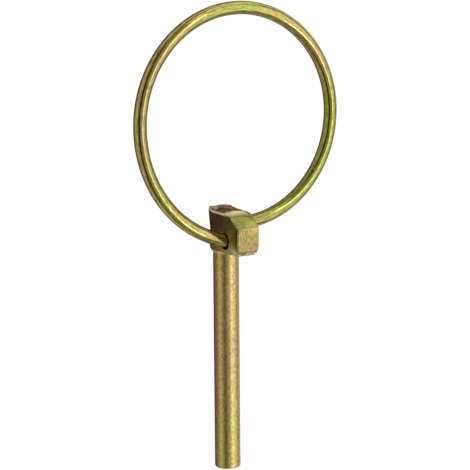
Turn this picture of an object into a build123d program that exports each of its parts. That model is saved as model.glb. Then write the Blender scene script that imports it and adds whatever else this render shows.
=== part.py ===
from build123d import *
import math
import os

# A linch pin: a forged pin with a round shank and a flattened head with a nose, and
# a ring of spring wire whose ends sit in staggered blind holes in the head's sides.
# Millimetres.
# Frame: the pin lies on its back with its nose up. The origin is on the shank's
# axis at the underside of the head. +Y runs to the head and the ring, -Y to the
# tip, +Z to the nose, and X across the thickness of the head.

# Shank
shank_diameter = 4.5
shank_length = 38.6
tip_chamfer = 0.3
shoulder_height = 0.6
shoulder_inset = 0.25

# Head, seen from the side: a flat back, a long crown that falls away from the back,
# a brow, a bevel and a blunt nose
head_height = 7.65
nose_reach = 7.45
brow_depth = 4.45
bevel_depth = 1.8
bevel_top_height = 6.6
bevel_foot_height = 4.8
chin_height = 1.3
chin_depth = 1.0
crown_peak = -1.5
crown_length_radius = 80.0

# Head, seen from the front: sides that lean out to a domed top, highest a little to
# the right, and a chin that rounds off to the nose
head_thickness = 4.2
side_lean = 0.25
dome_peak = 0.35
dome_radius = 6.5
chin_corner_width = 0.95
chin_corner_height = 2.2
chin_start = 1.6
plain_corner = 0.25

# Run-out from the square back of the head to the round shank
runout_height = 0.9
runout_ledge = 0.1

# Rounded edges of the head
rim_round = 0.25
back_edge_round = 0.5

# Ring of spring wire, in a plane across the head just in front of the shank
wire_diameter = 2.3
ring_plane_height = 3.05
ring_radius = 19.2
ring_centre_height = 23.0
ring_centre_shift = 0.85
left_end_height = 2.2
right_end_height = 5.25
left_turn_angle = 174.0
right_turn_angle = 43.5
wire_end_chamfer = 0.15

# Blind holes that the wire ends turn in
wire_seat = 1.25
hole_clearance = 0.32
hole_spare_depth = 0.3
drill_point_angle = 118.0

shank_radius = shank_diameter / 2
wire_radius = wire_diameter / 2
half_thickness = head_thickness / 2
wire_end_x = half_thickness - wire_seat
hole_radius = wire_radius + hole_clearance
hole_depth = wire_seat + hole_spare_depth
cut_margin = 1.0


def side_x(height):
    """Half the head's thickness at one height up its leaning sides."""
    return half_thickness + side_lean * height / head_height


def dome_y(x):
    """Height of the top's dome across the head."""
    return head_height - dome_radius + math.sqrt(dome_radius**2 - (x - dome_peak) ** 2)


def head_section(plane_height, corner_width, corner_height):
    """Front view of the head at one height, with rounded lower corners."""
    corner_top_x = side_x(corner_height)
    corner_x = corner_top_x - corner_width
    top_x = side_x(head_height)
    with BuildSketch(Plane.XY.offset(plane_height)) as section:
        with BuildLine():
            Line((-corner_x, 0), (corner_x, 0))
            EllipticalCenterArc(
                (corner_x, corner_height), corner_width, corner_height, start_angle=270
            )
            Polyline(
                (corner_top_x, corner_height),
                (top_x, head_height),
                (-top_x, head_height),
                (-corner_top_x, corner_height),
            )
            EllipticalCenterArc(
                (-corner_x, corner_height), corner_width, corner_height, start_angle=180
            )
        make_face()
    return section.sketch


# Ring: three arcs. On the left the wire leaves the top's circle on a wider arc and
# enters the head low, on the right on a tighter arc, higher up.
with BuildPart() as spring_ring:
    with BuildLine(Plane.XY.offset(ring_plane_height)) as wire_path:
        loop = CenterArc(
            (ring_centre_shift, ring_centre_height),
            ring_radius,
            right_turn_angle,
            left_turn_angle - right_turn_angle,
        )
        left_hook = TangentArc(
            ((loop @ 1).X, (loop @ 1).Y),
            (-wire_end_x, left_end_height),
            tangent=loop % 1,
        )
        right_hook = TangentArc(
            ((loop @ 0).X, (loop @ 0).Y),
            (wire_end_x, right_end_height),
            tangent=-(loop % 0),
        )
    with BuildSketch(wire_path.line ^ 0):
        Circle(wire_radius)
    sweep(path=wire_path.line)
    wire_ends = spring_ring.faces().filter_by(GeomType.PLANE)
    chamfer(wire_ends.edges(), wire_end_chamfer)
spring_ring.part.label = "spring_ring"

# Each hole is centred on the wire halfway along its seat.
left_slope = (left_hook % 1).Y / (left_hook % 1).X
right_slope = (right_hook % 1).Y / (right_hook % 1).X
left_hole_height = left_end_height - left_slope * wire_seat / 2
right_hole_height = right_end_height + right_slope * wire_seat / 2

# Pin: the head is forged flat from the shank's own stock.
with BuildPart() as pin:
    back_section = head_section(-shank_radius, plain_corner, plain_corner)
    chin_section = head_section(chin_start, plain_corner, plain_corner)
    nose_section = head_section(nose_reach, chin_corner_width, chin_corner_height)
    extrude(back_section, amount=shank_radius + chin_start)
    loft([chin_section, nose_section])

    # The top is crowned both ways, like the rim of a wide drum.
    drum_half = side_x(head_height) + cut_margin
    left_edge = (-drum_half, dome_y(-drum_half))
    right_edge = (drum_half, dome_y(drum_half))
    drum_axis_height = head_height - crown_length_radius
    with BuildSketch(Plane.XY.offset(crown_peak)):
        with BuildLine():
            Polyline(
                left_edge,
                (-drum_half, drum_axis_height),
                (drum_half, drum_axis_height),
                right_edge,
            )
            ThreePointArc(right_edge, (dome_peak, head_height), left_edge)
        make_face()
    revolve(
        axis=Axis((0, drum_axis_height, crown_peak), (1, 0, 0)), mode=Mode.INTERSECT
    )

    # Side view: the bevel above the nose, drawn on to the top, and the round of the chin.
    bevel_lean = bevel_depth / (bevel_top_height - bevel_foot_height)
    bevel_end_depth = bevel_lean * (head_height - bevel_foot_height)
    with BuildSketch(Plane.YZ):
        with BuildLine():
            Polyline(
                (0, nose_reach - chin_depth),
                (0, -shank_radius),
                (head_height, -shank_radius),
                (head_height, nose_reach - bevel_end_depth),
                (bevel_foot_height, nose_reach),
                (chin_height, nose_reach),
            )
            TangentArc(
                (chin_height, nose_reach), (0, nose_reach - chin_depth), tangent=(-1, 0)
            )
        make_face()
    extrude(amount=drum_half, both=True, mode=Mode.INTERSECT)

    # The long edges of the back, then the rim of the top, bevel and nose.
    back = pin.faces().sort_by(Axis.Z)[0]
    back_sides = back.edges().sort_by(Axis.X)
    fillet([back_sides[0], back_sides[-1]], back_edge_round)
    top = pin.faces().filter_by(GeomType.TORUS)
    flats = pin.faces().filter_by(GeomType.PLANE)
    bevel = flats.filter_by(lambda face: min(face.normal_at().Y, face.normal_at().Z) > 0.1)
    nose = flats.sort_by(Axis.Z)[-1:]
    rim = (top + bevel + nose).edges().filter_by_position(
        Axis.Y, chin_height, head_height, inclusive=(False, True)
    )
    fillet(rim, rim_round)

    # The brow: a crisp flat between the top and the bevel.
    brow_top = (head_height, nose_reach - brow_depth)
    brow_foot = (bevel_top_height, nose_reach - bevel_depth)
    with BuildSketch(Plane.YZ):
        with BuildLine():
            Polyline(brow_top, brow_foot, (head_height, nose_reach), close=True)
        make_face()
    extrude(amount=drum_half, both=True, mode=Mode.SUBTRACT)

    # The back's lower corners run out to the shank along a cone.
    corner_radius = math.hypot(side_x(runout_height), shank_radius)
    runout_radius = shank_radius + runout_ledge
    runout_slope = runout_height / (corner_radius - runout_radius)
    cut_radius = corner_radius + cut_margin
    with BuildSketch(Plane.XY):
        with BuildLine():
            Polyline(
                (runout_radius, -cut_margin),
                (runout_radius, 0),
                (cut_radius, runout_slope * (cut_radius - runout_radius)),
                (cut_radius, -cut_margin),
                close=True,
            )
        make_face()
    revolve(axis=Axis.Y, revolution_arc=180, mode=Mode.SUBTRACT)

    # Round shank, with a shoulder that dies away in the sides of the head.
    with BuildSketch(Plane.XY):
        with BuildLine():
            Polyline(
                (0, shoulder_height),
                (shank_radius - shoulder_inset, shoulder_height),
                (shank_radius, 0),
                (shank_radius, tip_chamfer - shank_length),
                (shank_radius - tip_chamfer, -shank_length),
                (0, -shank_length),
                close=True,
            )
        make_face()
    revolve(axis=Axis.Y)

    # Staggered blind holes with drill points, one in each side of the head.
    drill_point = hole_radius / math.tan(math.radians(drill_point_angle / 2))
    for side, height in ((-1, left_hole_height), (1, right_hole_height)):
        mouth = Vector(side * half_thickness, height, ring_plane_height)
        inwards = Vector(-side, 0, 0)
        with BuildSketch(Plane(mouth, x_dir=inwards, z_dir=(0, 0, -side))):
            with BuildLine():
                Polyline(
                    (-cut_margin, 0),
                    (-cut_margin, hole_radius),
                    (hole_depth, hole_radius),
                    (hole_depth + drill_point, 0),
                    close=True,
                )
            make_face()
        revolve(axis=Axis(mouth, inwards), mode=Mode.SUBTRACT)
pin.part.label = "pin"

os.makedirs("parts", exist_ok=True)
export_step(pin.part, "parts/pin.step")
export_step(spring_ring.part, "parts/spring_ring.step")
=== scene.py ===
import math

import bmesh
import bpy
from mathutils import Matrix, Vector, noise


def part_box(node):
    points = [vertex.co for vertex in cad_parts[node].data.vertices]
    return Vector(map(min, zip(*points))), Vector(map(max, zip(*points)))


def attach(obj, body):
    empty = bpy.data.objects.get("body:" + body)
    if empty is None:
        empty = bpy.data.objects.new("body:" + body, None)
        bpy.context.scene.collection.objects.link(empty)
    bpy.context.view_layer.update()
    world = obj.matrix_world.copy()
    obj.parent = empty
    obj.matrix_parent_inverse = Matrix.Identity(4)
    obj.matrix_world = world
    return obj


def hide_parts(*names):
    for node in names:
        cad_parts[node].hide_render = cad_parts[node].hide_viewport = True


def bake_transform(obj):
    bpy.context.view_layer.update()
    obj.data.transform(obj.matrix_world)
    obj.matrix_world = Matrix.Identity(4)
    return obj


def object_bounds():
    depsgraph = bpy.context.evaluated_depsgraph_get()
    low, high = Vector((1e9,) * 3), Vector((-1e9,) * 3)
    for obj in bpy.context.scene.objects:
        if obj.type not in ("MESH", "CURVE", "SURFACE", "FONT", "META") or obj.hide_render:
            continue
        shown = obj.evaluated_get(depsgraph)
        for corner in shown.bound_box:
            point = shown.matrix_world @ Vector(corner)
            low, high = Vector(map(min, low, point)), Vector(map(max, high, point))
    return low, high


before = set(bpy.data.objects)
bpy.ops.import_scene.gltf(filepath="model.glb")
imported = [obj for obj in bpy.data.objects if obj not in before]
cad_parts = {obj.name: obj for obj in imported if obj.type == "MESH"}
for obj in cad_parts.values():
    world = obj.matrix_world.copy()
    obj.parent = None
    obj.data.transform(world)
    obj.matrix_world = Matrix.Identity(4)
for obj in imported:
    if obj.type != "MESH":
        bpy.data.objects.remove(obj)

# A linch pin lying on its back: a forged and sheared pin with a ring of spring wire,
# both zinc plated with yellow chromate. Metres, in the row frame: +Y from the tip to
# the ring, +Z to the nose, X across the head, so that the camera sees -X on the left.
# In the names below UP is along Y, FORWARD along Z and ACROSS along X. A pair is the
# span over which a mark comes in, and a pair named SWELL is a mark's middle and width.
CAD_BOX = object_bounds()
MM = 0.001


def mm(*values):
    """Lengths given in millimetres, as metres."""
    return tuple(value * MM for value in values)


# Camera, as the photograph stands
PICTURE = 470
TURN = math.radians(31.5)
LIFT = math.radians(9.6)
ROLL = math.radians(-0.47)
DISTANCE = 0.375
PIXELS_PER_METRE = 5755.0
ORIGIN_PIXEL = (225.9, 250.6)
SENSOR = 36.0
CLIP_START = 0.01
CLIP_END = 10

# Wire: three arcs in one plane, as the solid has them
WIRE_RADIUS = 1.15 * MM
RING_PLANE = 3.05 * MM
RING_RADIUS = 19.2 * MM
RING_CENTRE = (0.85 * MM, 23.0 * MM)
LEFT_TURN = math.radians(174.0)
RIGHT_TURN = math.radians(43.5)
LEFT_END = (-0.85 * MM, 2.2 * MM)
RIGHT_END = (0.85 * MM, 5.25 * MM)
WIRE_CHAMFER = 0.15 * MM
WIRE_STEP = 0.35 * MM
WIRE_SIDES = 36
WIRE_END_LENGTH = 10.0 * MM

# Pin: the shank, and how finely the head is remeshed
SHANK_RADIUS = 2.25 * MM
SHANK_TOP = -0.7 * MM
TIP_CHAMFER = 0.2 * MM
SHANK_STEP = 0.8 * MM
HEAD_VOXEL = 0.09 * MM
WELD_GAP = 0.001 * MM

# Marks of forging and shearing on the head
OCTAVE_FALL = 0.6
OCTAVE_STEP = 2.0
FACING_UP = (0.5, 0.85)
TOP_HALF = 2.33 * MM
TOP_BACK = -2.25 * MM
TOP_BROW = 3.9 * MM
TOP_UP = mm(6.3, 6.8)
CRATER_EDGE = mm(0.25, 0.75)
CRATER_DEPTH = 0.2 * MM
CRATER_BUMPS = 0.13 * MM
RIM_SWELL = mm(0.25, 0.3)
RIM_RISE = 0.06 * MM
RIM_RISE_AT_BACK = 0.14 * MM
RIM_FORWARD = mm(-1.0, -1.9)
FALL_DEPTH = 0.25 * MM
FALL_UP = mm(5.8, 6.6)
FALL_FORWARD = mm(-1.0, 0.8)
FALL_ACROSS = mm(0.3, 2.2)
LEAN_DEPTH = 0.2 * MM
LEAN_UP = mm(1.5, 4.8)
LEAN_FORWARD = mm(5.5, 7.3)
LEAN_ACROSS = mm(0.0, -2.2)
HORN_HEIGHT = 0.38 * MM
HORN_WIDTH = 0.9 * MM
HORN_X = -2.2 * MM
HORN_Z = -2.1 * MM
HORN_UP = mm(5.0, 7.0)
WAIST_DEPTH = 0.32 * MM
WAIST_UP_SWELL = mm(3.9, 2.0)
WAIST_FORWARD = mm(-1.0, -2.0)
WAIST_ACROSS = mm(-0.5, -1.8)
WAVE_DEPTH = 0.03 * MM
WAVE_FOOT = 0.2 * MM

# Chromate film, from where it is thin and rosy to where it is thick and green
ROSE = (0.60, 0.38, 0.24)
GOLD = (0.64, 0.48, 0.20)
OLIVE = (0.59, 0.52, 0.17)
GREEN = (0.50, 0.56, 0.13)
TORN_DARK = (0.10, 0.045, 0.025)
TORN_PALE = (0.64, 0.38, 0.22)
# pale colour of rubbed edges and of painted highlights
WEAR_AND_HIGHLIGHT_COLOUR = (1.0, 0.89, 0.5)
GRAIN_DARK = (0.36, 0.31, 0.25)
BLACK = (0, 0, 0)
WHITE = (1, 1, 1)
FILM_STOPS = ((0.08, ROSE), (0.38, GOLD), (0.66, OLIVE), (0.95, GREEN))
CRUST_STOPS = ((0.46, TORN_DARK), (0.62, TORN_PALE))
GRAIN_STOPS = ((0.36, GRAIN_DARK), (0.56, WHITE))
# ramp of the painted light and shade that multiply the colour
LIGHT_AND_SHADE_STOPS = ((0, BLACK), (1, WHITE))
GRAIN_SHARE = 0.8
GRAIN_HEIGHT = 0.4
DULLED = 0.15
TORN_METAL = 0.5
BUMP_STRENGTH = 0.5
BUMP_DISTANCE = 0.05 * MM

# Noise of the finish: bumps per metre, and the span that the values keep to
GRAIN_SCALE = 4200
BLOTCH_SCALE = 700
FLAKE_SCALE = 1100
FLAKE_STRETCH = (0.5, 1, 1)
NOISE_SPAN = (0.3, 0.7)

# Film and painted highlights along the wire: swells as amount, then middle and width in shares of its
# length
WIRE_FILM = 0.7
WIRE_FILM_SWELLS = ((0.2, 0.5, 0.08), (0.2, 0.85, 0.15), (-0.32, 0.27, 0.13), (-0.2, 0.62, 0.05))
# painted highlights along the wire: level of the rest, and swells that lighten it
WIRE_LIGHT_AND_SHADE = 0.73
WIRE_HIGHLIGHT_SWELLS = ((0.25, 0.56, 0.12), (0.25, 0.04, 0.08))

# Film on the shank, round it by angle in degrees and along it
SHANK_FILM = 0.36
FRONT_LEFT_FILM = 0.1
FRONT_LEFT_SWELL = (-40, 18)
FAR_LEFT_FILM = -0.14
FAR_LEFT = (-58, -76)
UNDER_HEAD_FILM = 0.2
UNDER_HEAD_SWELL = mm(-1, 3)
NEAR_TIP_FILM = 0.22
NEAR_TIP_SWELL = mm(-33, 6)

# Film on the head
HEAD_FILM = 0.02
FORWARD_FILM = 0.6
FORWARD = mm(0.0, 5.5)
BEVEL_FILM = 0.3
BEVEL_UP = mm(4.6, 5.2)
BEVEL_FORWARD = mm(4.5, 5.5)
NOSE_RIGHT_FILM = -0.3
NOSE_RIGHT_ACROSS = mm(-1.2, 1.6)
NOSE_FORWARD = mm(6.9, 7.4)

# Painted light and shade on the head: painted shade over the front, a painted highlight patch on it,
# and a painted dark line of shade
FRONT_SHADE = 0.36
FRONT_FORWARD = mm(4.8, 6.2)
HIGHLIGHT_ACROSS_SWELL = mm(1.5, 1.8)
HIGHLIGHT_UP_SWELL = mm(5.3, 1.1)
LINE_DARKNESS = 0.65
LINE_ACROSS_SWELL = mm(-2.15, 0.22)
LINE_FORWARD_SWELL = mm(6.95, 0.4)
LINE_FOOT = mm(0.8, 1.8)
LINE_TOP = mm(5.2, 4.4)

# Painted highlights of the head, on its rim, ledge, foot, brow, chin and a corner; on its other edges,
# pale rubbed wear with some painted highlight
EDGE_BEND = (0.02, 0.065)
PATCHES = (-0.8, 0.1)
SPOTS = (-0.25, 0.25)
PLAIN_EDGE_WEAR_AND_HIGHLIGHT = 0.15
RIM_HIGHLIGHT_UP = mm(5.6, 6.6)
RIM_HIGHLIGHT_ACROSS = mm(1.9, 1.4)
LEDGE_HIGHLIGHT = 0.7
LEDGE_HIGHLIGHT_UP = mm(0.6, 0.3)
LEDGE_HIGHLIGHT_ACROSS = mm(-0.4, -1.0)
FOOT_HIGHLIGHT = 0.8
FOOT_HIGHLIGHT_SWELL = mm(0.05, 0.16)
FOOT_HIGHLIGHT_FORWARD = mm(4.0, 3.0)
BROW_HIGHLIGHT = 0.85
BROW_HIGHLIGHT_SWELL = mm(3.8, 1.1)
BROW_HIGHLIGHT_UP = mm(6.7, 7.0)
BROW_HIGHLIGHT_ACROSS = mm(2.2, 1.2)
CHIN_HIGHLIGHT = 0.8
CHIN_HIGHLIGHT_SWELL = mm(0.42, 0.24)
CHIN_HIGHLIGHT_FORWARD = mm(6.0, 6.7)
CORNER_HIGHLIGHT = 0.7
CORNER_HIGHLIGHT_PLACE = Vector((-2.1, 0.5, 6.0)) * MM
CORNER_HIGHLIGHT_WIDTH = 0.8 * MM

# Studio
PANEL_DISTANCE = 0.6
STRIP_DISTANCE = 0.4
FLOOR_REACH = 3.0
FLOOR_COLOUR = (0.9, 0.9, 0.9, 1)
FLOOR_GLOW = 1.1
FLOOR_GLOW_SHARE = 0.88
MIRROR_REACH = 0.5
MIRROR_LIFT = 0.05 * MM
MIRROR_SPAN = mm(1.5, 30)
MIRROR_PIN_END = 6 * MM
# painted shadow: the floor as reflections see it, darkest close under the part
MIRROR_NEAR = (0.06, 0.045, 0.04)
MIRROR_MIDDLE = (0.3, 0.25, 0.18)
MIRROR_FAR = (0.6, 0.55, 0.46)
MIRROR_OUTSIDE = (1.1, 1.05, 0.95)
MIRROR_STOPS = ((0, MIRROR_NEAR), (0.1, MIRROR_MIDDLE), (0.32, MIRROR_FAR), (1, MIRROR_OUTSIDE))
PANEL_YELLOW = (1, 0.92, 0.74)
STRIP_COLOUR = (0.012, 0.008, 0.004)
WORLD_COLOUR = (0.95, 0.9, 0.8, 1)
WORLD_STRENGTH = 0.38


def smooth_step(low, high, value):
    share = min(1.0, max(0.0, (value - low) / (high - low)))
    return share * share * (3 - 2 * share)


def bell(value, centre, width):
    return math.exp(-(((value - centre) / width) ** 2))


def rough(point, scale, seed, octaves=3):
    """Layered noise of about -1 to 1 at a point, scale in bumps per millimetre."""
    where = Vector(point) / MM * scale + Vector((seed, 0, 0))
    return noise.fractal(where, OCTAVE_FALL, OCTAVE_STEP, octaves)


class Nodes:
    """A short way to add nodes to a material or world and wire them up."""

    MIX_SHARE, MIX_FIRST, MIX_SECOND, MIX_RESULT = 0, 6, 7, 2

    def __init__(self, tree):
        self.tree = tree
        tree.nodes.clear()

    def add(self, kind, settings=None, **inputs):
        node = self.tree.nodes.new(kind)
        for name, value in (settings or {}).items():
            setattr(node, name, value)
        for name, value in inputs.items():
            self.set(node, name.replace("_", " "), value)
        return node

    def set(self, node, key, value):
        socket = node.inputs[key]
        if isinstance(value, bpy.types.NodeSocket):
            self.tree.links.new(value, socket)
        else:
            socket.default_value = value

    def math(self, operation, first, second):
        node = self.add("ShaderNodeMath", {"operation": operation})
        self.set(node, 0, first)
        self.set(node, 1, second)
        return node.outputs[0]

    def mix(self, share, first, second, blend="MIX"):
        node = self.add("ShaderNodeMix", {"data_type": "RGBA", "blend_type": blend})
        self.set(node, self.MIX_SHARE, share)
        self.set(node, self.MIX_FIRST, first)
        self.set(node, self.MIX_SECOND, second)
        return node.outputs[self.MIX_RESULT]

    def attribute(self, name, output="Fac"):
        return self.add("ShaderNodeAttribute", {"attribute_name": name}).outputs[output]

    def stretched(self, vector, scale):
        return self.add("ShaderNodeMapping", Vector=vector, Scale=scale).outputs[0]

    def noise(self, vector, scale, detail, roughness, distortion=0.0):
        node = self.add("ShaderNodeTexNoise", Vector=vector, Scale=scale, Detail=detail)
        self.set(node, "Roughness", roughness)
        self.set(node, "Distortion", distortion)
        return node.outputs["Fac"]

    def fit(self, value, low, high, new_low, new_high):
        node = self.add("ShaderNodeMapRange", Value=value)
        for key, limit in enumerate((low, high, new_low, new_high), start=1):
            self.set(node, key, limit)
        return node.outputs[0]

    def ramp(self, factor, *stops):
        node = self.add("ShaderNodeValToRGB", Fac=factor)
        elements = node.color_ramp.elements
        elements[0].position, elements[1].position = stops[0][0], stops[-1][0]
        elements[0].color, elements[1].color = (*stops[0][1], 1), (*stops[-1][1], 1)
        for position, colour in stops[1:-1]:
            elements.new(position).color = (*colour, 1)
        return node.outputs["Color"]

    def finish(self, kind, socket):
        self.set(self.add(kind), "Surface", socket)


def new_material(name):
    material = bpy.data.materials.new(name)
    material.use_nodes = True
    return material, Nodes(material.node_tree)


def film_colour(nodes, place, drift_stretch, drift_scale, drift_size):
    """The film's colour, which drifts to both sides of what the attribute film says."""
    stretched = nodes.stretched(place(nodes), drift_stretch)
    drift = nodes.noise(stretched, drift_scale, detail=3.0, roughness=0.6, distortion=0.6)
    drift = nodes.fit(drift, *NOISE_SPAN, -drift_size, drift_size)
    film = nodes.math("ADD", nodes.attribute("film"), drift)
    return nodes.ramp(film, *FILM_STOPS)


def torn_worn_and_highlit(nodes, place, colour, height, roughness):
    """Adds a rosy flaked crust where the steel was sheared, and pale rubbed edges and painted
    highlights, rougher and less metallic.
    """
    torn = nodes.attribute("torn")
    wear_and_highlight = nodes.attribute("wear_and_highlight")
    stretched = nodes.stretched(place(nodes), FLAKE_STRETCH)
    flakes = nodes.noise(stretched, FLAKE_SCALE, detail=4.0, roughness=0.6, distortion=1.2)
    crust = nodes.ramp(flakes, *CRUST_STOPS)
    colour = nodes.mix(torn, colour, crust)
    # pale rubbed edges and painted highlights
    colour = nodes.mix(wear_and_highlight, colour, (*WEAR_AND_HIGHLIGHT_COLOUR, 1))
    height = nodes.math("ADD", height, nodes.math("MULTIPLY", torn, flakes))
    dull = nodes.math("MAXIMUM", torn, wear_and_highlight)
    metal = nodes.math("SUBTRACT", nodes.fit(torn, 0, 1, 1, TORN_METAL), wear_and_highlight)
    roughness = nodes.math("ADD", roughness, nodes.math("MULTIPLY", dull, DULLED))
    return colour, height, roughness, metal


def plated_steel(
    name, place, drift_stretch, drift_scale, drift_size, grain_stretch, polish, torn=False
):
    """Yellow chromate over zinc. Vertex attributes: film, how thick it lies; torn, where it was
    sheared;
    the painted light and shade that darken it; and pale rubbed edges with painted highlights."""
    material, nodes = new_material(name)
    colour = film_colour(nodes, place, drift_stretch, drift_scale, drift_size)
    stretched = nodes.stretched(place(nodes), grain_stretch)
    grain = nodes.noise(stretched, GRAIN_SCALE, detail=5.0, roughness=0.7)
    blotch = nodes.noise(place(nodes), BLOTCH_SCALE, detail=3.0, roughness=0.6)
    shade = nodes.ramp(grain, *GRAIN_STOPS)
    colour = nodes.mix(GRAIN_SHARE, colour, shade, "MULTIPLY")
    roughness = nodes.fit(blotch, *NOISE_SPAN, *polish)
    height = nodes.math("ADD", nodes.math("MULTIPLY", grain, GRAIN_HEIGHT), blotch)
    # painted light and shade multiply the colour
    light_and_shade = nodes.ramp(nodes.attribute("light_and_shade"), *LIGHT_AND_SHADE_STOPS)
    colour = nodes.mix(1.0, colour, light_and_shade, "MULTIPLY")
    metal = 1.0
    if torn:
        marked = torn_worn_and_highlit(nodes, place, colour, height, roughness)
        colour, height, roughness, metal = marked
    bump = nodes.add(
        "ShaderNodeBump", Strength=BUMP_STRENGTH, Distance=BUMP_DISTANCE, Height=height
    )
    shader = nodes.add("ShaderNodeBsdfPrincipled", Metallic=metal, Roughness=roughness)
    nodes.set(shader, "Base Color", colour)
    nodes.set(shader, "Normal", bump.outputs[0])
    nodes.finish("ShaderNodeOutputMaterial", shader.outputs[0])
    return material


def object_place(nodes):
    return nodes.add("ShaderNodeTexCoord").outputs["Object"]


def wire_place(nodes):
    return nodes.attribute("wire_place", "Vector")


def add_object(name, mesh, material):
    mesh.materials.clear()
    mesh.materials.append(material)
    piece = bpy.data.objects.new(name, mesh)
    bpy.context.scene.collection.objects.link(piece)
    return piece


def store(mesh, name, kind, values):
    attribute = mesh.attributes.new(name, kind, "POINT")
    key = "vector" if kind == "FLOAT_VECTOR" else "value"
    flat = [part for value in values for part in value] if kind == "FLOAT_VECTOR" else values
    attribute.data.foreach_set(key, flat)


# The wire's centre line, from its left end round to its right end


def circle_line(start_angle, end_angle):
    count = math.ceil(abs(end_angle - start_angle) * RING_RADIUS / WIRE_STEP)
    angles = [start_angle + (end_angle - start_angle) * i / count for i in range(count + 1)]
    cx, cy = RING_CENTRE
    return [Vector((cx + RING_RADIUS * math.cos(a), cy + RING_RADIUS * math.sin(a))) for a in angles]


def hook_line(start, tangent, end):
    """Arc that leaves start along tangent and ends at end."""
    normal = Vector((-tangent.y, tangent.x))
    chord = end - start
    turn = 2 * math.atan2(chord.dot(normal), chord.dot(tangent))
    radius = chord.length_squared / (2 * chord.dot(normal))
    centre = start + normal * radius
    count = math.ceil(abs(turn * radius) / WIRE_STEP)
    arm = start - centre
    line = []
    for i in range(count + 1):
        c, s = math.cos(turn * i / count), math.sin(turn * i / count)
        line.append(centre + Vector((arm.x * c - arm.y * s, arm.x * s + arm.y * c)))
    return line


def wire_line():
    loop = circle_line(RIGHT_TURN, LEFT_TURN)
    left_way = Vector((-math.sin(LEFT_TURN), math.cos(LEFT_TURN)))
    right_way = Vector((math.sin(RIGHT_TURN), -math.cos(RIGHT_TURN)))
    left = hook_line(loop[-1], left_way, Vector(LEFT_END))
    right = hook_line(loop[0], right_way, Vector(RIGHT_END))
    return left[:0:-1] + loop[::-1] + right[1:]


def line_lengths(line):
    lengths = [0.0]
    for before, after in zip(line, line[1:]):
        lengths.append(lengths[-1] + (after - before).length)
    return lengths


def with_swells(level, swells, share):
    for amount, middle, width in swells:
        level += amount * bell(share, middle, width)
    return level


def wire_film(along):
    """Greenish wire, rosier on its left run and near its top."""
    return with_swells(WIRE_FILM, WIRE_FILM_SWELLS, along / WIRE_TOTAL)


def wire_light_and_shade(along):
    """Painted highlights: lighter near the wire's left end and across the ring's top than down its
    sides.
    """
    return with_swells(WIRE_LIGHT_AND_SHADE, WIRE_HIGHLIGHT_SWELLS, along / WIRE_TOTAL)


def tube_shape(rings):
    """Closed tube through rings of point, direction, length so far and radius, with
    the place of each vertex on the wire."""
    shape = bmesh.new()
    places = []
    loops = []
    for point, way, along, radius in rings:
        loop = []
        for k in range(WIRE_SIDES):
            angle = 2 * math.pi * k / WIRE_SIDES
            out, up = radius * math.cos(angle), radius * math.sin(angle)
            corner = (point.x + way.y * out, point.y - way.x * out, RING_PLANE + up)
            loop.append(shape.verts.new(corner))
            places.append((along, out, up))
        loops.append(loop)
    for first, second in zip(loops, loops[1:]):
        for k in range(WIRE_SIDES):
            following = (k + 1) % WIRE_SIDES
            shape.faces.new((first[k], first[following], second[following], second[k]))
    for cap in (loops[0][::-1], loops[-1]):
        face = shape.faces.new(cap)
        for edge in face.edges:
            edge.smooth = False
    bmesh.ops.recalc_face_normals(shape, faces=shape.faces)
    for face in shape.faces:
        face.smooth = len(face.verts) == 4
    return shape, places


def tube(name, line, lengths, ends, material):
    """Round wire along the line. ends says which of its two ends has a chamfer."""
    rings = []
    for i, point in enumerate(line):
        before, after = line[max(i - 1, 0)], line[min(i + 1, len(line) - 1)]
        rings.append([point, (after - before).normalized(), lengths[i], WIRE_RADIUS])
    for end, at in ((ends[0], 0), (ends[1], -1)):
        if end:
            rings[at][3] = WIRE_RADIUS - WIRE_CHAMFER
    mesh = bpy.data.meshes.new(name)
    shape, places = tube_shape(rings)
    shape.to_mesh(mesh)
    shape.free()
    store(mesh, "wire_place", "FLOAT_VECTOR", places)
    store(mesh, "film", "FLOAT", [wire_film(place[0]) for place in places])
    # painted highlights along the wire
    store(mesh, "light_and_shade", "FLOAT", [wire_light_and_shade(place[0]) for place in places])
    return add_object(name, mesh, material)


WIRE_LINE = wire_line()
WIRE_LENGTHS = line_lengths(WIRE_LINE)
WIRE_TOTAL = WIRE_LENGTHS[-1]


def first_beyond(length):
    """Number of the first point of the wire's line beyond a length along it."""
    return next(i for i, along in enumerate(WIRE_LENGTHS) if along > length)


def make_ring(material):
    """The loop rides on the ring. Each end bends from its hole in the pin to the loop."""
    first = first_beyond(WIRE_END_LENGTH)
    last = first_beyond(WIRE_TOTAL - WIRE_END_LENGTH)
    end = len(WIRE_LINE) - 1
    spans = (("wire_left_end", 0, first), ("wire_loop", first, last), ("wire_right_end", last, end))
    for name, start, stop in spans:
        part = slice(start, stop + 1)
        ends = (start == 0, stop == end)
        piece = tube(name, WIRE_LINE[part], WIRE_LENGTHS[part], ends, material)
        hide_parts("spring_ring")
        if name == "wire_loop":
            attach(piece, "ring")
        else:
            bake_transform(piece)


# The pin: a head remeshed from the solid and marked, and a shank drawn down from its rim


def cut_below(shape, height):
    """Removes what lies below a height and returns the open rim's edges."""
    everything = shape.verts[:] + shape.edges[:] + shape.faces[:]
    found = bmesh.ops.bisect_plane(
        shape, geom=everything, plane_co=(0, height, 0), plane_no=(0, -1, 0), clear_outer=True
    )
    return [item for item in found["geom_cut"] if isinstance(item, bmesh.types.BMEdge)]


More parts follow.
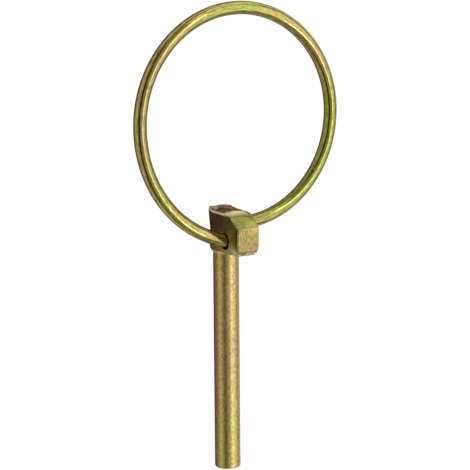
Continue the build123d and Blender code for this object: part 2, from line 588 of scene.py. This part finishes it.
def head_mesh():
    shape = bmesh.new()
    shape.from_mesh(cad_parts["pin"].data)
    bmesh.ops.remove_doubles(shape, verts=shape.verts, dist=WELD_GAP)
    rim = cut_below(shape, SHANK_TOP - MM)
    bmesh.ops.contextual_create(shape, geom=rim)
    mesh = bpy.data.meshes.new("head")
    shape.to_mesh(mesh)
    shape.free()
    holder = bpy.data.objects.new("head", mesh)
    bpy.context.scene.collection.objects.link(holder)
    remesh = holder.modifiers.new("remesh", "REMESH")
    remesh.mode = "VOXEL"
    remesh.voxel_size = HEAD_VOXEL
    depsgraph = bpy.context.evaluated_depsgraph_get()
    made = bpy.data.meshes.new_from_object(holder.evaluated_get(depsgraph))
    bpy.data.objects.remove(holder)
    return made


def inside_top(x, z):
    """How far a point of the top lies from its nearest edge."""
    return min(TOP_HALF - abs(x), z - TOP_BACK, TOP_BROW - z)


def sculpt(vertex, normal):
    """Moves a point of the head as forging and shearing leave it. Returns how torn it is."""
    x, y, z = vertex.co
    upward = smooth_step(*FACING_UP, normal.y)
    on_top = upward * smooth_step(*TOP_UP, y)
    crater = smooth_step(*CRATER_EDGE, inside_top(x, z)) * on_top
    rim = bell(inside_top(x, z), *RIM_SWELL) * on_top
    crest = RIM_RISE + RIM_RISE_AT_BACK * smooth_step(*RIM_FORWARD, z)
    vertex.co.y += crest * rim - CRATER_DEPTH * crater
    # the right of the top falls away to the nose, and the left of the nose leans in
    fall = smooth_step(*FALL_FORWARD, z) * smooth_step(*FALL_ACROSS, x)
    vertex.co.y -= FALL_DEPTH * fall * upward * smooth_step(*FALL_UP, y)
    lean = smooth_step(*LEAN_FORWARD, z) * smooth_step(*LEAN_ACROSS, x)
    vertex.co.x += LEAN_DEPTH * lean * smooth_step(*LEAN_UP, y)
    # shearing leaves the top uneven and drags up a horn at its back left corner
    vertex.co.y += CRATER_BUMPS * crater * rough((x, y, z), scale=0.9, seed=11, octaves=4)
    horn = math.exp(-((x - HORN_X) ** 2 + (z - HORN_Z) ** 2) / HORN_WIDTH**2)
    vertex.co.y += HORN_HEIGHT * horn * smooth_step(*HORN_UP, y)
    # the left of the back is drawn in at the height of the hole
    waist = smooth_step(*WAIST_FORWARD, z) * smooth_step(*WAIST_ACROSS, x)
    vertex.co.z += WAIST_DEPTH * waist * bell(y, *WAIST_UP_SWELL)
    if z > 0 and y > WAVE_FOOT:
        vertex.co += normal * (WAVE_DEPTH * rough((x, y, z), scale=0.35, seed=3, octaves=2))
    return crater


def shank_film(x, y, z):
    """Greener at the front left, under the head and near the tip, rosier on the far left."""
    turn = math.degrees(math.atan2(x, z))
    across = FRONT_LEFT_FILM * bell(turn, *FRONT_LEFT_SWELL)
    across += FAR_LEFT_FILM * smooth_step(*FAR_LEFT, turn)
    along = UNDER_HEAD_FILM * bell(y, *UNDER_HEAD_SWELL) + NEAR_TIP_FILM * bell(y, *NEAR_TIP_SWELL)
    return SHANK_FILM + across + along


def head_film(x, y, z):
    """Rosy at the back of the head, olive to the nose, green on the bevel."""
    bevel = smooth_step(*BEVEL_UP, y) * smooth_step(*BEVEL_FORWARD, z)
    nose_right = smooth_step(*NOSE_RIGHT_ACROSS, x) * (1 - bevel) * smooth_step(*NOSE_FORWARD, z)
    forward = FORWARD_FILM * smooth_step(*FORWARD, z)
    return HEAD_FILM + forward + BEVEL_FILM * bevel + NOSE_RIGHT_FILM * nose_right


def pin_film(x, y, z):
    return shank_film(x, y, z) if y < 0 else head_film(x, y, z)


def pin_light_and_shade(x, y, z):
    """Painted shade over the nose and bevel, with a painted highlight patch, and a painted dark line of
    shade down the left of the nose.
    """
    highlight = bell(x, *HIGHLIGHT_ACROSS_SWELL) * bell(y, *HIGHLIGHT_UP_SWELL)
    # painted shade over the front, lifted where the painted highlight lies
    dull = FRONT_SHADE * (1 - highlight) * smooth_step(*FRONT_FORWARD, z)
    # painted dark line of shade down the left of the nose
    line = bell(x, *LINE_ACROSS_SWELL) * bell(z, *LINE_FORWARD_SWELL)
    line *= smooth_step(*LINE_FOOT, y) * smooth_step(*LINE_TOP, y)
    return (1 - dull) * (1 - LINE_DARKNESS * line)


def edge_share(vertex):
    """1 on an outer edge, 0 on a flat."""
    steps = [(vertex.co - edge.other_vert(vertex).co).normalized() for edge in vertex.link_edges]
    return smooth_step(*EDGE_BEND, sum(vertex.normal.dot(step) for step in steps) / len(steps))


def pin_wear_and_highlight(place, edge):
    """Painted highlights along the rim of the top, the ledge, the foot and the brow, in spots under the
    nose and at a lower corner; elsewhere pale rubbed wear on the edges.
    """
    x, y, z = place
    rim = smooth_step(*RIM_HIGHLIGHT_UP, y) * smooth_step(*RIM_HIGHLIGHT_ACROSS, x)
    ledge = LEDGE_HIGHLIGHT * smooth_step(*LEDGE_HIGHLIGHT_UP, abs(y)) * smooth_step(*LEDGE_HIGHLIGHT_ACROSS, x)
    patchy = smooth_step(*PATCHES, rough(place, scale=0.8, seed=41))
    foot = bell(y, *FOOT_HIGHLIGHT_SWELL) * patchy * smooth_step(*FOOT_HIGHLIGHT_FORWARD, z)
    brow = bell(z, *BROW_HIGHLIGHT_SWELL) * smooth_step(*BROW_HIGHLIGHT_UP, y) * smooth_step(*BROW_HIGHLIGHT_ACROSS, x)
    spots = smooth_step(*SPOTS, rough(place, scale=1.6, seed=47))
    chin = bell(y, *CHIN_HIGHLIGHT_SWELL) * smooth_step(*CHIN_HIGHLIGHT_FORWARD, z) * spots
    corner = math.exp(-(Vector(place) - CORNER_HIGHLIGHT_PLACE).length_squared / CORNER_HIGHLIGHT_WIDTH**2)
    # pale rubbed wear on the edges, with painted highlights along the rim and ledge
    edge_wear_and_highlight = edge * patchy * max(PLAIN_EDGE_WEAR_AND_HIGHLIGHT, rim, ledge)
    # painted highlights on the brow, under the nose, at the corner and along the foot
    return max(edge_wear_and_highlight, BROW_HIGHLIGHT * brow, CHIN_HIGHLIGHT * chin, CORNER_HIGHLIGHT * corner, FOOT_HIGHLIGHT * foot)


def mark_head(shape):
    """Paints wear and highlights on the head and sculpts it, from how it stands before any point has
    moved.
    """
    torn_layer = shape.verts.layers.float.new("torn")
    wear_and_highlight_layer = shape.verts.layers.float.new("wear_and_highlight")
    before = [(vertex.normal.copy(), edge_share(vertex)) for vertex in shape.verts]
    for vertex, (normal, edge) in zip(shape.verts, before):
        # pale rubbed edges and painted highlights
        vertex[wear_and_highlight_layer] = pin_wear_and_highlight(vertex.co.copy(), edge)
        vertex[torn_layer] = sculpt(vertex, normal)


def draw_shank(shape):
    """Draws the shank and its chamfered tip down from the head's lower rim."""
    rim = cut_below(shape, SHANK_TOP)
    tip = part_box("pin")[0].y
    length = SHANK_TOP - tip - TIP_CHAMFER
    count = round(length / SHANK_STEP)
    stops = [(SHANK_TOP - length * i / count, SHANK_RADIUS) for i in range(1, count + 1)]
    stops.append((tip, SHANK_RADIUS - TIP_CHAMFER))
    for height, radius in stops:
        chamfer_rim = rim
        grown = bmesh.ops.extrude_edge_only(shape, edges=rim)["geom"]
        rim = [item for item in grown if isinstance(item, bmesh.types.BMEdge)]
        for vertex in (item for item in grown if isinstance(item, bmesh.types.BMVert)):
            out = Vector((vertex.co.x, 0, vertex.co.z)).normalized() * radius
            vertex.co = (out.x, height, out.z)
    bmesh.ops.contextual_create(shape, geom=rim)
    bmesh.ops.recalc_face_normals(shape, faces=shape.faces)
    for face in shape.faces:
        face.smooth = True
    for edge in rim + chamfer_rim:
        edge.smooth = False


def make_pin(material):
    mesh = head_mesh()
    shape = bmesh.new()
    shape.from_mesh(mesh)
    shape.normal_update()
    mark_head(shape)
    draw_shank(shape)
    shape.to_mesh(mesh)
    shape.free()
    mesh.name = "pin_body"
    store(mesh, "film", "FLOAT", [pin_film(*vertex.co) for vertex in mesh.vertices])
    # painted light and shade of the pin
    store(mesh, "light_and_shade", "FLOAT", [pin_light_and_shade(*vertex.co) for vertex in mesh.vertices])
    piece = add_object("pin_body", mesh, material)
    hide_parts("pin")
    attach(piece, "pin")


# Studio: white floor, a few soft panels, and cards that only reflections see


def camera_axes():
    """Right, up and back of the camera in the row frame."""
    out = math.cos(LIFT)
    back = Vector((-out * math.sin(TURN), math.sin(LIFT), out * math.cos(TURN)))
    right = Vector((0, 1, 0)).cross(back).normalized()
    up = back.cross(right)
    roll = Matrix.Rotation(ROLL, 3, back)
    return roll @ right, roll @ up, back


def make_camera():
    """The pin stands upright in the picture, seen from above its nose and a little from
    its left, and placed by the pixel that its origin shows at."""
    right, up, back = camera_axes()
    half = PICTURE / 2
    place = back * DISTANCE
    place -= right * (ORIGIN_PIXEL[0] - half) / PIXELS_PER_METRE
    place -= up * (half - ORIGIN_PIXEL[1]) / PIXELS_PER_METRE
    data = bpy.data.cameras.new("camera")
    data.sensor_width = SENSOR
    data.lens = SENSOR * PIXELS_PER_METRE * DISTANCE / PICTURE
    data.clip_start = CLIP_START
    data.clip_end = CLIP_END
    camera = bpy.data.objects.new("camera", data)
    bpy.context.scene.collection.objects.link(camera)
    aim = Matrix((right, up, back)).transposed().to_4x4()
    camera.matrix_world = Matrix.Translation(place) @ aim
    bpy.context.scene.camera = camera


def floor_material():
    material, nodes = new_material("floor_white")
    path = nodes.add("ShaderNodeLightPath")
    seen = nodes.math("MAXIMUM", path.outputs["Is Camera Ray"], path.outputs["Is Glossy Ray"])
    seen = nodes.math("MAXIMUM", seen, path.outputs["Is Transmission Ray"])
    pale = nodes.add("ShaderNodeBsdfDiffuse", Color=FLOOR_COLOUR)
    glow = nodes.add("ShaderNodeEmission", Color=(1, 1, 1, 1), Strength=FLOOR_GLOW)
    mix = nodes.add("ShaderNodeMixShader")
    nodes.set(mix, 0, nodes.math("MULTIPLY", seen, FLOOR_GLOW_SHARE))
    nodes.set(mix, 1, pale.outputs[0])
    nodes.set(mix, 2, glow.outputs[0])
    nodes.finish("ShaderNodeOutputMaterial", mix.outputs[0])
    return material


def mirrored_floor_material():
    """The floor as the plating mirrors it, with a painted shadow: dark close under the part, paler
    further out.
    """
    material, nodes = new_material("floor_mirrored")
    split = nodes.add("ShaderNodeSeparateXYZ", Vector=object_place(nodes)).outputs
    beside = nodes.math("ABSOLUTE", split["X"], 0)
    beyond = nodes.math("SUBTRACT", split["Y"], MIRROR_PIN_END)
    pin_gap = nodes.math("MAXIMUM", beside, beyond)
    span = nodes.add("ShaderNodeVectorMath", {"operation": "DISTANCE"})
    nodes.set(span, 0, object_place(nodes))
    nodes.set(span, 1, (*RING_CENTRE, CAD_BOX[0].z))
    ring_gap = nodes.math("ABSOLUTE", nodes.math("SUBTRACT", span.outputs["Value"], RING_RADIUS), 0)
    # painted shadow: darkest close to the pin and the ring
    gap = nodes.fit(nodes.math("MINIMUM", pin_gap, ring_gap), *MIRROR_SPAN, 0, 1)
    glow = nodes.add("ShaderNodeEmission", Color=nodes.ramp(gap, *MIRROR_STOPS))
    nodes.finish("ShaderNodeOutputMaterial", glow.outputs[0])
    return material


def plain_glow(name, colour):
    material, nodes = new_material(name)
    glow = nodes.add("ShaderNodeEmission", Color=(*colour, 1))
    nodes.finish("ShaderNodeOutputMaterial", glow.outputs[0])
    return material


def only_mirrored(piece):
    """Seen in reflections, but not by the camera, and without shadow or light of its own."""
    for kind in ("camera", "diffuse", "transmission", "volume_scatter", "shadow"):
        setattr(piece, "visible_" + kind, False)


def staged_card(name, width, length, height, material):
    """A flat rectangle about the origin."""
    x, y = width / 2, length / 2
    mesh = bpy.data.meshes.new(name)
    corners = [(-x, -y, height), (x, -y, height), (x, y, height), (-x, y, height)]
    mesh.from_pydata(corners, [], [(0, 1, 2, 3)])
    card = add_object(name, mesh, material)
    return card


def make_floor():
    height = CAD_BOX[0].z
    side = 2 * FLOOR_REACH
    staged_card("floor", side, side, height, floor_material())
    side = 2 * MIRROR_REACH
    lifted = height + MIRROR_LIFT
    only_mirrored(staged_card("floor_mirrored", side, side, lifted, mirrored_floor_material()))


def facing(turn, lift, distance):
    """Place and aim towards the pin, turned from the nose to the left and lifted to the
    ring, in degrees."""
    a, e = math.radians(turn), math.radians(lift)
    way = Vector((-math.sin(a) * math.cos(e), math.sin(e), math.cos(a) * math.cos(e)))
    side = Vector((0, 1, 0)).cross(way).normalized()
    aim = Matrix((side, way.cross(side), way)).transposed().to_4x4()
    return Matrix.Translation(way * distance) @ aim


def panel(name, turn, lift, size, radiance, colour=WHITE):
    data = bpy.data.lights.new(name, "AREA")
    data.shape = "RECTANGLE"
    data.size, data.size_y = size
    data.energy = radiance * math.pi * size[0] * size[1]
    data.color = colour
    lamp = bpy.data.objects.new(name, data)
    bpy.context.scene.collection.objects.link(lamp)
    lamp.matrix_world = facing(turn, lift, PANEL_DISTANCE)


def dark_strip(name, turn, lift, size, colour):
    """The unlit gap beside the camera, which shows as the thin dark line along the wire."""
    strip = staged_card(name, *size, 0, plain_glow(name, colour))
    strip.matrix_world = facing(turn, lift, STRIP_DISTANCE)
    only_mirrored(strip)


def make_lights():
    panel("strip_above", turn=-17, lift=0, size=(0.07, 1.0), radiance=3.0)
    panel("panel_right", turn=-33, lift=0, size=(0.72, 1.0), radiance=0.95)
    panel("panel_camera", turn=12, lift=0, size=(0.2, 1.0), radiance=0.25)
    panel("panel_left", turn=92, lift=0, size=(0.5, 1.0), radiance=0.36, colour=PANEL_YELLOW)
    panel("panel_top", turn=-40, lift=62, size=(0.5, 0.3), radiance=1.0)
    dark_strip("gap_by_camera", turn=46, lift=0, size=(0.13, 1.0), colour=STRIP_COLOUR)


def make_world():
    world = bpy.data.worlds.new("studio")
    bpy.context.scene.world = world
    world.use_nodes = True
    nodes = Nodes(world.node_tree)
    background = nodes.add("ShaderNodeBackground", Color=WORLD_COLOUR, Strength=WORLD_STRENGTH)
    nodes.finish("ShaderNodeOutputWorld", background.outputs[0])


def ring_plating():
    """Drawn wire: drift and grain run along it, and it is well polished."""
    return plated_steel(
        "ring_plating",
        wire_place,
        drift_stretch=(0.22, 1, 1),
        drift_scale=420,
        drift_size=0.26,
        grain_stretch=(0.2, 1, 1),
        polish=(0.08, 0.18),
    )


def pin_plating():
    """Forged bar: duller, with drift and grain that run along the shank."""
    return plated_steel(
        "pin_plating",
        object_place,
        drift_stretch=(1, 0.3, 1),
        drift_scale=380,
        drift_size=0.2,
        grain_stretch=(1, 0.45, 1),
        polish=(0.31, 0.4),
        torn=True,
    )


bpy.context.scene.view_settings.view_transform = "Standard"
make_ring(ring_plating())
make_pin(pin_plating())
make_floor()
make_world()
make_lights()
make_camera()
